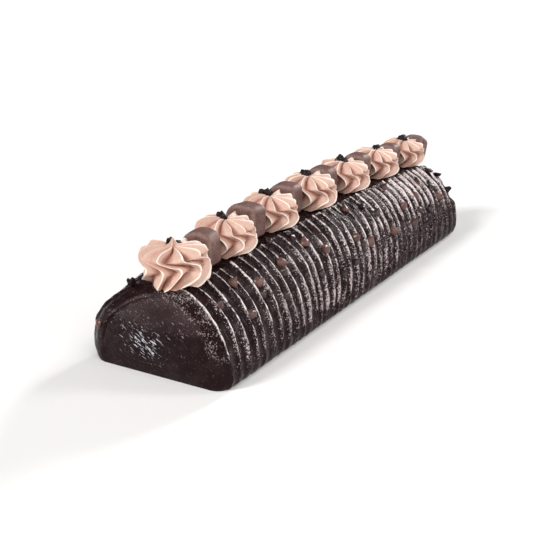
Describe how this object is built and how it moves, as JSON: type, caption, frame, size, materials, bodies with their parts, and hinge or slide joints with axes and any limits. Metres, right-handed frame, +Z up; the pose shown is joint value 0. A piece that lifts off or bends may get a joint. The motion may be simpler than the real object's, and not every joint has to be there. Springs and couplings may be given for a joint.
{
  "type": "swiss roll cake",
  "caption": "Long uncut chocolate swiss roll with combed icing ridges, chocolate drops, and a row of piped cream rosettes with chocolate bars along the top",
  "frame": {"origin": "middle of the flat underside, at the bottom centre of the bounding box", "axes": "+X runs along the roll from the smooth near end to the far end, +Z is up, and the flank that the picture shows faces -Y"},
  "size_m": [0.3427, 0.0921, 0.0772],
  "materials": {
    "icing": "dark chocolate fudge icing, combed and glossy, stands in for food",
    "cream": "pale chocolate buttercream, soft satin, stands in for food",
    "bar_coating": "milk chocolate coating with a dull sheen, stands in for food"
  },
  "bodies": {
    "root": {"cake_roll": "icing", "chocolate_bar_1": "bar_coating", "chocolate_bar_2": "bar_coating", "chocolate_bar_3": "bar_coating", "chocolate_bar_4": "bar_coating", "chocolate_bar_5": "bar_coating", "chocolate_bar_6": "bar_coating", "chocolate_bar_7": "bar_coating", "rosette_1": "cream", "rosette_2": "cream", "rosette_3": "cream", "rosette_4": "cream", "rosette_5": "cream", "rosette_6": "cream", "rosette_7": "cream"}
  },
  "joints": []
}
